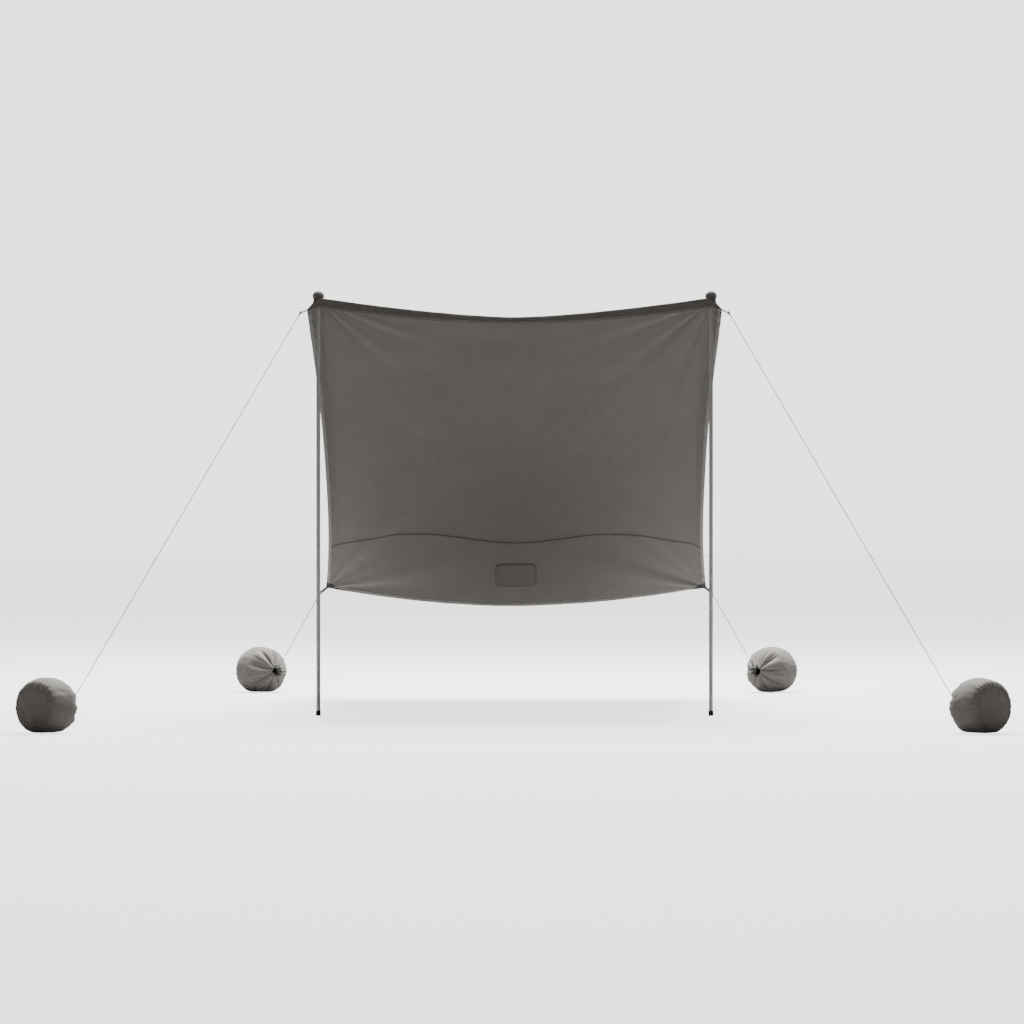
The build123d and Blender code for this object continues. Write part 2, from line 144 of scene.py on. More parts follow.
def folds(u, v):
    """How far the cloth stands off its smooth shape, in metres, positive above it."""
    x, s = u * half_width(v), v * CLOTH_L
    lift = 0.0
    for side in (-1, 1):
        # Fans of tension folds that run out from the pole's top and from the rear corner.
        dx, ds = side * POLE_X - x, s - 0.02
        reach = math.hypot(dx, ds)
        turn = math.atan2(ds, dx * side)
        rise = ease(reach / 0.12)
        fan = math.sin(turn * 15 + 0.7 * side) + 0.5 * math.sin(turn * 27 + 1.9 + side)
        lift += 0.0042 * rise * math.exp(-reach / 0.42) * fan
        dx, ds = side * CANOPY_HALF - x, CLOTH_L - s
        reach = math.hypot(dx, ds)
        turn = math.atan2(ds, dx * side)
        rise = ease(reach / 0.10)
        fan = math.sin(turn * 11 + 0.4 * side) + 0.6 * math.sin(turn * 19 + 2.3 * side)
        lift += 0.0050 * rise * math.exp(-reach / 0.50) * fan
        # One long crease from the rear corner up towards the middle.
        along = dx * side * 0.62 + ds * 0.785
        off = dx * side * 0.785 - ds * 0.62
        if along > 0:
            lift += 0.006 * ease(along / 0.15) * math.exp(-along / 0.75) * math.exp(
                -((off / 0.035) ** 2)
            )
        # A dark fold that drops from the pole's top down the cloth, a little inwards.
        dx, ds = side * (side * POLE_X - x), s - 0.03
        off = dx - 0.175 * ds
        if ds > 0:
            lift -= 0.006 * ease(ds / 0.10) * math.exp(-ds / 0.50) * math.exp(-((off / 0.022) ** 2))
    # A soft ripple that hangs below the crest, and slow unevenness all over.
    lift -= 0.004 * math.exp(-s / 0.16) * math.sin(math.pi * s / 0.16) * (1 - u * u)
    lift += 0.0035 * noise.noise(Vector((x * 2.3, s * 1.9, 4.2)))
    lift += 0.0012 * noise.noise(Vector((x * 9.0, s * 7.0, 1.7)))
    # Puckers where thread gathers the cloth: the seam across and the edges.
    near_seam = math.exp(-((s - seam_at(u) * CLOTH_L) / 0.018) ** 2)
    lift += 0.0011 * near_seam * math.sin(x * 190 + 1.5 * math.sin(x * 23))
    near_side = math.exp(-((1 - abs(u)) * CANOPY_HALF / 0.020) ** 2)
    lift += 0.0013 * near_side * math.sin(s * 170 + 1.3 * math.sin(s * 21)) * ease(s / 0.1)
    near_rear = math.exp(-(((1 - v) * CLOTH_L) / 0.020) ** 2)
    lift += 0.0005 * near_rear * math.sin(x * 160 + 1.1 * math.sin(x * 19))
    edge = min(1.0, (1 - abs(u)) / 0.03 + 0.35)
    return lift * edge * ease(s / 0.03 + 0.2)


def seam_at(u):
    """Where the seam across the canopy runs, as v."""
    a = abs(u)
    return 0.8095 + 0.0125 * math.cos(2 * math.pi * a / 1.1) + 0.026 * a**3


def canopy_at(u, v, above=0.0):
    """A point of the finished cloth's upper face, or a little above it."""
    return canopy_base(u, v) + canopy_normal(u, v) * (folds(u, v) + above - SKIN)


# ---- mesh helpers -------------------------------------------------------------------------------
def linked(name, data):
    """A new object of this name and data, put in the scene."""
    piece = bpy.data.objects.new(name, data)
    bpy.context.scene.collection.objects.link(piece)
    return piece


def mesh_object(name, points, faces, uvs=None, smooth=True):
    mesh = bpy.data.meshes.new(name)
    mesh.from_pydata([tuple(p) for p in points], [], faces)
    if uvs is not None:
        layer = mesh.uv_layers.new(name="cloth_metres")
        for loop in mesh.loops:
            layer.data[loop.index].uv = uvs[loop.vertex_index]
    mesh.validate()
    mesh.update()
    if smooth:
        mesh.polygons.foreach_set("use_smooth", [True] * len(mesh.polygons))
    return linked(name, mesh)


def grid(name, at, across, along, closed=False, size=(1.0, 1.0)):
    """A sheet of points at(s, t), s and t from 0 to 1; closed joins s=1 back to s=0."""
    points, uvs, faces = [], [], []
    wide = across if closed else across + 1
    for j in range(along + 1):
        for i in range(wide):
            s, t = i / across, j / along
            points.append(at(s, t))
            uvs.append((s * size[0], t * size[1]))
    for j in range(along):
        for i in range(across):
            a, b = j * wide + i, j * wide + (i + 1) % wide
            faces.append((a, b, b + wide, a + wide))
    return mesh_object(name, points, faces, uvs)


def thicken(piece, thickness, offset=-1.0):
    solid = piece.modifiers.new("cloth", "SOLIDIFY")
    solid.thickness = thickness
    solid.offset = offset
    solid.use_even_offset = False
    return piece


def frames_along(path):
    """A sideways and an upward direction at each point of a path, without twist."""
    result, side = [], None
    for i, p in enumerate(path):
        ahead = (path[min(i + 1, len(path) - 1)] - path[max(i - 1, 0)]).normalized()
        if side is None:
            guide = Vector((0, 0, 1)) if abs(ahead.z) < 0.9 else Vector((1, 0, 0))
            side = ahead.cross(guide).normalized()
        side = (side - ahead * side.dot(ahead)).normalized()
        result.append((side, side.cross(ahead).normalized()))
    return result


def tube(name, path, radius, segments=12, cap=True):
    """A round tube along a path; radius is a number or a function of the share along it."""
    points, faces, uvs = [], [], []
    size = radius if callable(radius) else (lambda t: radius)
    run = 0.0
    for i, (p, (side, up)) in enumerate(zip(path, frames_along(path))):
        r = size(i / (len(path) - 1))
        run += (p - path[i - 1]).length if i else 0.0
        for k in range(segments):
            a = 2 * math.pi * k / segments
            points.append(p + side * (r * math.cos(a)) + up * (r * math.sin(a)))
            uvs.append((k / segments, run))
    for i in range(len(path) - 1):
        for k in range(segments):
            a, b = i * segments + k, i * segments + (k + 1) % segments
            faces.append((a, b, b + segments, a + segments))
    if cap:
        faces.append(tuple(reversed(range(segments))))
        last = (len(path) - 1) * segments
        faces.append(tuple(range(last, last + segments)))
    return mesh_object(name, points, faces, uvs)


def joined(name, pieces):
    """One object from several, keeping every face."""
    points, faces, uvs = [], [], []
    for piece in pieces:
        base = len(points)
        mesh = piece.data
        own = {}
        if mesh.uv_layers:
            for loop, uv in zip(mesh.loops, mesh.uv_layers[0].data):
                own[loop.vertex_index] = tuple(uv.uv)
        points += [v.co.copy() for v in mesh.vertices]
        uvs += [own.get(i, (0.0, 0.0)) for i in range(len(mesh.vertices))]
        faces += [tuple(base + i for i in p.vertices) for p in mesh.polygons]
        bpy.data.objects.remove(piece)
        bpy.data.meshes.remove(mesh)
    return mesh_object(name, points, faces, uvs)


def stitches(name, path, normals, pitch=0.0046, length=0.0030, radius=0.00042):
    """A row of lockstitches: short threads lying along a path, each dipping at its ends."""
    points, faces = [], []
    runs = [0.0]
    for a, b in zip(path, path[1:]):
        runs.append(runs[-1] + (b - a).length)
    index, at = 0, pitch
    while at < runs[-1] - pitch:
        while runs[index + 1] < at:
            index += 1
        share = (at - runs[index]) / (runs[index + 1] - runs[index])
        middle = path[index].lerp(path[index + 1], share)
        ahead = (path[index + 1] - path[index]).normalized()
        up = normals[index].normalized()
        side = ahead.cross(up).normalized()
        base = len(points)
        for end, thick in ((-0.5, 0.35), (-0.25, 1.0), (0.25, 1.0), (0.5, 0.35)):
            for a, b in ((1, 0), (0, 1), (-1, 0), (0, -1)):
                lift = up * (radius * (thick * b + (thick - 0.6) * 0.9))
                points.append(middle + ahead * (end * length) + side * (radius * thick * a) + lift)
        for ring in range(3):
            for k in range(4):
                p, q = base + ring * 4 + k, base + ring * 4 + (k + 1) % 4
                faces.append((p, q, q + 4, p + 4))
        faces.append((base + 3, base + 2, base + 1, base))
        faces.append((base + 12, base + 13, base + 14, base + 15))
        at += pitch
    return mesh_object(name, points, faces, smooth=False)


def dress(piece, material, body=SHELTER, replaces=()):
    """Give a piece its material and slot, put it on its body and hide what it stands for."""
    piece.data.materials.clear()
    piece.data.materials.append(material)
    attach(piece, body)
    if replaces:
        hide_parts(*replaces)
    return piece


# ---- materials ----------------------------------------------------------------------------------
class Nodes:
    """A short way to build a node material."""

    def __init__(self, name, roughness=0.8, metallic=0.0, sheen=0.0, coat=0.0, ior=1.45):
        self.material = bpy.data.materials.new(name)
        self.material.use_nodes = True
        self.tree = self.material.node_tree
        self.shader = self.tree.nodes["Principled BSDF"]
        self.shader.inputs["Roughness"].default_value = roughness
        self.shader.inputs["Metallic"].default_value = metallic
        self.shader.inputs["Sheen Weight"].default_value = sheen
        self.shader.inputs["Sheen Roughness"].default_value = 0.45
        self.shader.inputs["Coat Weight"].default_value = coat
        self.shader.inputs["IOR"].default_value = ior

    def add(self, kind, inputs=None, **settings):
        node = self.tree.nodes.new(kind)
        for key, value in settings.items():
            setattr(node, key, value)
        for key, value in (inputs or {}).items():
            if isinstance(value, bpy.types.NodeSocket):
                self.tree.links.new(value, node.inputs[key])
            else:
                node.inputs[key].default_value = value
        return node

    def coords(self, kind="UV"):
        return self.add("ShaderNodeTexCoord").outputs[kind]

    def stretch(self, vector, scale):
        return self.add(
            "ShaderNodeMapping", {"Vector": vector, "Scale": scale}
        ).outputs["Vector"]

    def noise(self, vector, scale, detail=3.0, roughness=0.5):
        node = self.add(
            "ShaderNodeTexNoise",
            {"Vector": vector, "Scale": scale, "Detail": detail, "Roughness": roughness},
        )
        return node.outputs["Fac"]

    def wave(self, vector, scale, direction="X", distortion=0.0):
        node = self.add(
            "ShaderNodeTexWave",
            {"Vector": vector, "Scale": scale, "Distortion": distortion},
            bands_direction=direction,
        )
        return node.outputs["Fac"]

    def math(self, operation, a, b):
        return self.add("ShaderNodeMath", {0: a, 1: b}, operation=operation).outputs[0]

    def ramp(self, value, low, high, start=0.3, end=0.7):
        node = self.add("ShaderNodeValToRGB", {"Fac": value})
        node.color_ramp.elements[0].position = start
        node.color_ramp.elements[0].color = (*low, 1)
        node.color_ramp.elements[1].position = end
        node.color_ramp.elements[1].color = (*high, 1)
        return node.outputs["Color"]

    def blend(self, factor, a, b, mode="MIX"):
        node = self.add("ShaderNodeMix", data_type="RGBA", blend_type=mode)
        for key, value in ((0, factor), (6, a), (7, b)):
            if isinstance(value, bpy.types.NodeSocket):
                self.tree.links.new(value, node.inputs[key])
            else:
                node.inputs[key].default_value = value
        return node.outputs[2]

    def bump(self, height, distance, strength=1.0, normal=None):
        inputs = {"Height": height, "Distance": distance, "Strength": strength}
        if normal is not None:
            inputs["Normal"] = normal
        return self.add("ShaderNodeBump", inputs).outputs["Normal"]

    def link(self, output, name):
        self.tree.links.new(output, self.shader.inputs[name])


def scaled(colour, k):
    return tuple(clamp(c * k) for c in colour)


def cloth_material(name, colour, coords="UV", threads=900.0, sheen=0.18):
    """Plain-woven cloth: warp and weft in the bump, slubs and faint fading in the colour."""
    m = Nodes(name, roughness=0.82, sheen=sheen)
    place = m.coords(coords)
    warp = m.wave(place, threads, "X", 0.4)
    weft = m.wave(place, threads, "Y", 0.4)
    weave = m.math("MULTIPLY", warp, weft)
    slubs = m.noise(m.stretch(place, (18.0, 240.0, 18.0)), 4.0, 4.0)
    cross_slubs = m.noise(m.stretch(place, (240.0, 18.0, 18.0)), 4.0, 4.0)
    fade = m.noise(place, 2.2, 4.0, 0.55)
    base = m.ramp(fade, scaled(colour, 0.93), scaled(colour, 1.07))
    yarns = m.math("ADD", slubs, cross_slubs)
    yarn = m.ramp(yarns, scaled(colour, 0.86), scaled(colour, 1.14), 0.8, 1.2)
    cloth = m.blend(0.35, base, yarn)
    dark = m.ramp(weave, (0.90, 0.90, 0.90), (1.04, 1.04, 1.04), 0.0, 0.6)
    m.link(m.blend(0.8, cloth, dark, "MULTIPLY"), "Base Color")
    rough = m.add("ShaderNodeMapRange", {"Value": slubs, "To Min": 0.74, "To Max": 0.90})
    m.link(rough.outputs[0], "Roughness")
    crumple = m.noise(place, 55.0, 4.0, 0.6)
    normal = m.bump(crumple, 0.0012, 0.35)
    m.link(m.bump(weave, 0.00022, 0.6, normal), "Normal")
    return m.material


def webbing_material(name, colour, coords="Object", pitch=420.0):
    """Flat webbing: close ribs across it, with a slight twill lean."""
    m = Nodes(name, roughness=0.7, sheen=0.12)
    place = m.coords(coords)
    ribs = m.wave(m.stretch(place, (1.0, 1.0, 1.6)), pitch, "DIAGONAL", 0.6)
    fine = m.noise(place, 900.0, 3.0)
    tone = m.ramp(ribs, scaled(colour, 0.7), scaled(colour, 1.35), 0.2, 0.8)
    fuzz = m.ramp(fine, scaled(colour, 0.8), scaled(colour, 1.25))
    m.link(m.blend(0.4, tone, fuzz), "Base Color")
    rough = m.add("ShaderNodeMapRange", {"Value": fine, "To Min": 0.6, "To Max": 0.85})
    m.link(rough.outputs[0], "Roughness")
    m.link(m.bump(ribs, 0.0004, 0.8), "Normal")
    return m.material


def cord_material(name, colour, fleck, coords="UV"):
    """Braided cord: crossing strands with a flecked tracer yarn."""
    m = Nodes(name, roughness=0.55, sheen=0.10)
    place = m.coords(coords)
    one = m.wave(m.stretch(place, (3.0, 130.0, 1.0)), 1.0, "DIAGONAL")
    other = m.wave(m.stretch(place, (-3.0, 130.0, 1.0)), 1.0, "DIAGONAL")
    braid = m.math("MAXIMUM", one, other)
    spots = m.noise(m.stretch(place, (3.0, 260.0, 1.0)), 2.0, 2.0)
    body = m.ramp(braid, scaled(colour, 0.65), scaled(colour, 1.2), 0.35, 0.95)
    tracer = m.ramp(spots, (0, 0, 0), (1, 1, 1), 0.60, 0.66)
    m.link(m.blend(tracer, body, (*fleck, 1)), "Base Color")
    rough = m.add("ShaderNodeMapRange", {"Value": braid, "To Min": 0.75, "To Max": 0.45})
    m.link(rough.outputs[0], "Roughness")
    m.link(m.bump(braid, 0.0005, 0.9), "Normal")
    return m.material


def tube_metal(name, colour, roughness):
    """Drawn and anodised tube: fine lengthwise lines, handling marks and a few scuffs."""
    m = Nodes(name, roughness=roughness, metallic=1.0)
    place = m.coords("Object")
    lines = m.noise(m.stretch(place, (900.0, 900.0, 3.0)), 1.0, 4.0, 0.6)
    marks = m.noise(m.stretch(place, (30.0, 30.0, 9.0)), 1.6, 5.0, 0.65)
    tone = m.ramp(lines, scaled(colour, 0.88), scaled(colour, 1.10), 0.35, 0.65)
    haze = m.ramp(marks, scaled(colour, 0.84), scaled(colour, 1.06), 0.35, 0.6)
    m.link(m.blend(0.5, tone, haze), "Base Color")
    rough = m.add(
        "ShaderNodeMapRange",
        {"Value": marks, "To Min": roughness + 0.12, "To Max": roughness - 0.06},
    )
    m.link(rough.outputs[0], "Roughness")
    m.link(m.bump(lines, 0.00006, 0.5), "Normal")
    return m.material


def moulded_material(name, colour, roughness, grain=700.0):
    """Moulded plastic or rubber: spark-eroded grain, slight bloom and rubbed patches."""
    m = Nodes(name, roughness=roughness)
    place = m.coords("Object")
    pebbles = m.noise(place, grain, 3.0, 0.6)
    bloom = m.noise(place, 38.0, 4.0, 0.6)
    m.link(m.ramp(bloom, scaled(colour, 0.8), scaled(colour, 1.45), 0.35, 0.75), "Base Color")
    rough = m.add(
        "ShaderNodeMapRange",
        {"Value": bloom, "To Min": roughness - 0.08, "To Max": roughness + 0.12},
    )
    m.link(rough.outputs[0], "Roughness")
    m.link(m.bump(pebbles, 0.00012, 0.7), "Normal")
    return m.material


TAUPE = (0.146, 0.134, 0.117)
# The hems are the canopy's own taupe cloth, made lighter here: a painted highlight for the light
# their folded faces catch.
LIT_HEM_TAUPE = (0.275, 0.256, 0.232)
BLACK = (0.012, 0.012, 0.013)
canopy_cloth = cloth_material("canopy_cloth", TAUPE)
# Lit copy of the canopy cloth for every hem; its lighter tone is painted light, not a different
# cloth.
lit_hem_cloth = cloth_material("lit_hem_cloth", LIT_HEM_TAUPE, threads=700.0)
bag_cloth = cloth_material("bag_cloth", TAUPE, threads=620.0, sheen=0.22)
black_web = webbing_material("black_webbing", BLACK)
red_cord = cord_material("red_guyline", (0.230, 0.022, 0.012), (0.42, 0.10, 0.06))
grey_cord = cord_material("grey_guyline", (0.045, 0.042, 0.038), (0.12, 0.11, 0.10))
thread_dark = cord_material("sewing_thread", (0.030, 0.028, 0.025), (0.05, 0.05, 0.045), "Object")
pole_metal = tube_metal("anodised_tube", (0.60, 0.60, 0.595), 0.42)
ferrule_metal = tube_metal("drawn_ferrule", (0.55, 0.55, 0.54), 0.28)
spring_metal = tube_metal("spring_wire", (0.52, 0.52, 0.50), 0.25)
foot_rubber = moulded_material("foot_rubber", (0.014, 0.014, 0.014), 0.72)
black_plastic = moulded_material("black_plastic", (0.013, 0.013, 0.014), 0.48)
sand_grains = moulded_material("dry_sand", (0.52, 0.43, 0.30), 0.9, 1200.0)
shock_cover = cord_material("shock_cord_cover", (0.02, 0.02, 0.02), (0.2, 0.2, 0.2), "Object")

KEPT = {"sand_fills": sand_grains}
for side in SIDES:
    KEPT[side + "_pole_cap"] = black_plastic
    KEPT[side + "_pole_foot"] = foot_rubber
    KEPT[side + "_pole_shock_cord"] = shock_cover
    for place in ("upper", "middle", "lower"):
        KEPT[side + "_pole_" + place + "_section"] = pole_metal
    for place in ("upper", "lower"):
        KEPT[side + "_pole_" + place + "_ferrule"] = ferrule_metal
for corner in CORNERS:
    KEPT[corner + "_lock_body"] = black_plastic
    KEPT[corner + "_lock_plunger"] = black_plastic
    KEPT[corner + "_lock_spring"] = spring_metal
    KEPT[corner + "_corner_strap"] = black_web
for name, material in KEPT.items():
    node = frame["nodes"][name]
    node.data.materials.clear()
    node.data.materials.append(material)


def span(u0, u1, v0, v1):
    """A part of the canopy as a function of s and t from 0 to 1; v ends may be functions of u."""

    def at(s, t):
        u = mix(u0, u1, s)
        low = v0(u) if callable(v0) else v0
        high = v1(u) if callable(v1) else v1
        return canopy_at(u, mix(low, high, t))

    return at


main_cloth = grid("canopy_main_cloth", span(-1, 1, 0, seam_at), 300, 260, size=(1.95, 1.88))
thicken(main_cloth, SHEET_T)
dress(
    main_cloth,
    canopy_cloth,
    replaces=["canopy_main_panel", "left_peak_patch", "right_peak_patch"],
)
rear_cloth = grid("canopy_rear_cloth", span(-1, 1, seam_at, 1), 300, 70, size=(1.95, 0.42))
thicken(rear_cloth, SHEET_T)
dress(rear_cloth, canopy_cloth, replaces=["canopy_rear_panel"])


# ---- seam, hems and patches ---------------------------------------------------------------------
def walk(at, count):
    return [at(i / count) for i in range(count + 1)]


def side_edge(sign):
    """The side edge as a function of the share along it, the way in from it and the height."""
    return lambda t, inward, above: canopy_at(sign * (1 - inward / CANOPY_HALF), t, above)


def rear_edge(t, inward, above):
    return canopy_at(2 * t - 1, 1 - inward / CLOTH_L, above)


HEM_W = 0.016
HEM_STITCH_IN = HEM_W - 0.0022
EDGE_STEPS = 420


def hem(name, edge, replaced):
    """A hem: the cloth folded round its edge, a little thicker where it is folded."""
    outline = [
        (HEM_W, 0.0001),
        (HEM_W - 0.0012, 0.0007),
        (0.004, 0.0009),
        (0.0005, 0.0010),
        (-0.0012, 0.0003),
        (-0.0016, -SHEET_T / 2),
        (-0.0012, -SHEET_T - 0.0003),
        (0.0005, -SHEET_T - 0.0010),
        (0.004, -SHEET_T - 0.0009),
        (HEM_W - 0.0012, -SHEET_T - 0.0007),
        (HEM_W, -SHEET_T - 0.0001),
    ]

    def at(s, t):
        place = s * (len(outline) - 1)
        i = min(int(place), len(outline) - 2)
        inward = mix(outline[i][0], outline[i + 1][0], place - i)
        above = mix(outline[i][1], outline[i + 1][1], place - i)
        return edge(t, inward, above)

    piece = grid(name, at, len(outline) - 1, EDGE_STEPS, size=(0.036, 2.2))
    dress(piece, lit_hem_cloth, replaces=[replaced])
    rows = []
    for above, flip in ((0.0009, 1), (-SHEET_T - 0.0009, -1)):
        path = walk(lambda t: edge(mix(0.006, 0.994, t), HEM_STITCH_IN, above), EDGE_STEPS)
        over = walk(
            lambda t: edge(mix(0.006, 0.994, t), HEM_STITCH_IN, above + 0.001 * flip), EDGE_STEPS
        )
        rows.append(stitches("row", path, [b - a for a, b in zip(path, over)]))
    dress(joined(name + "_stitches", rows), thread_dark)
    return piece


left_hem = hem("left_hem_fold", side_edge(-1), "left_hem")
right_hem = hem("right_hem_fold", side_edge(1), "right_hem")
rear_hem = hem("rear_hem_fold", rear_edge, "rear_hem")

SEAM_W = 0.0085


def seam_strip(name, above, width, lift):
    """A strip along the seam across the canopy, domed by lift."""

    def at(s, t):
        u = mix(-0.985, 0.985, t)
        dome = lift * (1 - (2 * s - 1) ** 2)
        return canopy_at(u, seam_at(u) + (s - 0.5) * width / CLOTH_L, above + dome)

    return grid(name, at, 6, EDGE_STEPS, size=(width, 1.92))


seam_tape = seam_strip("canopy_seam_tape", -SHEET_T - 0.0004, SEAM_W, -0.0008)
dress(seam_tape, cloth_material("seam_binding", (0.055, 0.050, 0.045), threads=500.0))
seam_lap = seam_strip("canopy_seam_lap", 0.0003, 0.012, 0.0009)
dress(seam_lap, canopy_cloth)
seam_rows = []
for offset in (-0.0042, 0.0042):
    for above, flip in ((0.0010, 1), (-SHEET_T - 0.0010, -1)):

        def seam_row(t, more=0.0):
            u = mix(-0.975, 0.975, t)
            return canopy_at(u, seam_at(u) + offset / CLOTH_L, above + more)

        row = walk(seam_row, EDGE_STEPS)
        over = walk(lambda t: seam_row(t, 0.001 * flip), EDGE_STEPS)
        seam_rows.append(stitches("row", row, [b - a for a, b in zip(row, over)]))
dress(joined("canopy_seam_stitches", seam_rows), thread_dark)


def corner_patch(corner, sign, end):
    """A black wedge sewn over and under a corner of the canopy."""
    long_leg, short_leg = (0.088, 0.046) if end > 0 else (0.040, 0.034)

    def at_side(above):
        def at(s, t):
            inward = long_leg * s * (1 - 0.15 * t)
            up = short_leg * t * (1 - s)
            v = 1 - (up + 0.0005) / CLOTH_L if end > 0 else (up + 0.0005) / CLOTH_L
            return canopy_at(sign * (1 - inward / CANOPY_HALF), v, above)

        return at

    layers = [
        grid("layer", at_side(above), 18, 12, size=(0.09, 0.05))
        for above in (0.0014, -SHEET_T - 0.0022)
    ]
    return joined(corner + "_corner_patch", layers)


for corner, (sign, end) in CORNERS.items():
    patch = corner_patch(corner, sign, end)
    thicken(patch, 0.0009, 0.0)
    dress(patch, black_web, replaces=["corner_patches"] if corner == "rear_left" else [])

# A plain sewn patch in the middle of the rear panel, on the side that faces the people inside.
BADGE_W, BADGE_H, BADGE_V, BADGE_ROUND = 0.215, 0.150, 0.918, 0.030


def badge_point(x, y, above):
    return canopy_at(x / CANOPY_HALF, BADGE_V + y / CLOTH_L, above)


def rounded_rectangle(half_w, half_h, radius, count=10):
    points = []
    for cx, cy, start in ((1, 1, 0), (-1, 1, 90), (-1, -1, 180), (1, -1, 270)):
        for i in range(count + 1):
            a = math.radians(start + 90 * i / count)
            points.append(
                (
                    cx * (half_w - radius) + radius * math.cos(a),
                    cy * (half_h - radius) + radius * math.sin(a),
                )
            )
    return points


def outline_run(half_w, half_h, radius, above, per_metre=900):
    corners = rounded_rectangle(half_w, half_h, radius)
    run = []
    for (x0, y0), (x1, y1) in zip(corners, corners[1:] + corners[:1]):
        steps = max(1, int(math.hypot(x1 - x0, y1 - y0) * per_metre))
        for i in range(steps):
            run.append(badge_point(mix(x0, x1, i / steps), mix(y0, y1, i / steps), above))
    return run + run[:1]


def badge_cloth(s, t):
    """The patch as rings that shrink from its rounded outline to its middle."""
    ring = rounded_rectangle(BADGE_W / 2, BADGE_H / 2, BADGE_ROUND)
    place = s * len(ring)
    i = int(place) % len(ring)
    x = mix(ring[i][0], ring[(i + 1) % len(ring)][0], place - int(place))
    y = mix(ring[i][1], ring[(i + 1) % len(ring)][1], place - int(place))
    return badge_point(x * (1 - t), y * (1 - t), -SHEET_T - 0.0012)


badge = grid("rear_plain_patch", badge_cloth, 176, 24, closed=True, size=(0.6, 0.08))
thicken(badge, 0.0008, 0.0)
dress(badge, cloth_material("patch_cloth", (0.118, 0.109, 0.097), threads=520.0))
rows = []
for inset in (0.004, 0.009):
    outline = (BADGE_W / 2 - inset, BADGE_H / 2 - inset, BADGE_ROUND - inset)
    row = outline_run(*outline, -SHEET_T - 0.0019)
    over = outline_run(*outline, -SHEET_T - 0.0029)
    rows.append(stitches("row", row, [b - a for a, b in zip(row, over)]))
dress(joined("rear_plain_patch_stitches", rows), thread_dark)


# ---- front valance and its hem ------------------------------------------------------------------
def hem_line(x):
    """Top of the front hem: lowest in the middle, highest at the poles, down to the corners."""
    share = min(abs(x) / POLE_X, 1.0)
    beyond = clamp((abs(x) - POLE_X) / (CANOPY_HALF - POLE_X))
    inner = mix(CREST_MID - VALANCE_DROP_MID, CREST_POLE - VALANCE_DROP_POLE, share**1.75)
    return mix(inner, CREST_CORNER - VALANCE_DROP_CORNER, beyond)


FRONT_HALF = 0.974
FRONT_STEPS = 460
HEM_TILT = math.radians(30)
FLAP_TILT = math.radians(68)


def valance_top(x):
    return canopy_at(clamp(x / CANOPY_HALF, -1, 1), 0.0005)


def valance_foot(x):
    ripple = 0.0012 * math.sin(x * 31) + 0.0008 * math.sin(x * 73 + 1)
    return Vector((x, CREST_Y - 0.0075 + ripple, hem_line(x)))


def valance_point(s, t):
    """The front margin of the canopy, which turns over the crest and hangs to the hem."""
    x = mix(-FRONT_HALF, FRONT_HALF, s)
    top, foot = valance_top(x), valance_foot(x)
    turn = t * math.pi / 2
    round_over = Vector((x, top.y + (foot.y - top.y) * math.sin(turn), 0))
    round_over.z = top.z + 0.0006 * math.sin(2 * turn) - (top.z - foot.z) * (t**1.35)
    pucker = 0.0009 * math.sin(x * 150 + 2 * math.sin(x * 17)) * t
    return round_over + Vector((0, -pucker, 0))


valance = grid("front_valance_cloth", valance_point, 420, 14, size=(1.95, 0.05))
thicken(valance, SHEET_T)
dress(valance, canopy_cloth, replaces=["front_valance"])


def front_hem_point(s, t):
    """The front hem: a flat tube that stands a little forward, so that light falls on it."""
    x = mix(-FRONT_HALF - 0.001, FRONT_HALF + 0.001, t)
    a = 2 * math.pi * s
    beyond = clamp((abs(x) - POLE_X) / (CANOPY_HALF - POLE_X))
    half_tall = mix(0.0098, 0.0070, beyond)
    half_thick = 0.0024 + 0.0004 * math.sin(x * 140 + 3 * math.sin(x * 11))
    local_up = half_tall * math.cos(a)
    local_out = half_thick * math.sin(a) * (1 if abs(math.cos(a)) < 0.9 else 0.9)
    foot = valance_foot(x)
    centre = foot + Vector((0, -0.0035, -half_tall * 0.9))
    tilt = mix(HEM_TILT, FLAP_TILT, beyond)
    out = local_out * math.cos(tilt) - local_up * math.sin(tilt)
    up = local_up * math.cos(tilt) + local_out * math.sin(tilt)
    return centre + Vector((0, -out, up))


front_hem = grid(
    "front_hem_fold",
    lambda s, t: front_hem_point(1 - s, t),
    20,
    FRONT_STEPS,
    closed=True,
    size=(0.04, 1.95),
)
dress(front_hem, lit_hem_cloth, replaces=["front_hem"])
rows = []
for s in (0.19, 0.31):
    row = walk(
        lambda t: front_hem_point(s, mix(0.004, 0.996, t)) + Vector((0, -0.0002, 0.0001)),
        FRONT_STEPS,
    )
    rows.append(stitches("row", row, [Vector((0, -0.9, 0.4))] * len(row)))
dress(joined("front_hem_stitches", rows), thread_dark)


# ---- pockets over the poles ---------------------------------------------------------------------
def canopy_z(x, y):
    rear_y = REAR_Y - REAR_RISE * (1 - abs(clamp(x / CANOPY_HALF, -1, 1)) ** 2.2)
    v = clamp((y - CREST_Y) / (rear_y - CREST_Y))
    return canopy_at(clamp(x / half_width(v), -1, 1), v).z


def pocket_folds(turn, sign):
    """Gathers round a pocket, deeper between its two lobes."""
    return (
        0.50 * abs(math.cos(turn * 4.5 + sign)) ** 0.8
        + 0.30 * abs(math.sin(turn * 7 + 0.6))
        + 0.35 * abs(math.cos(turn + 0.25 * sign)) ** 1.5
        - 0.55
    )


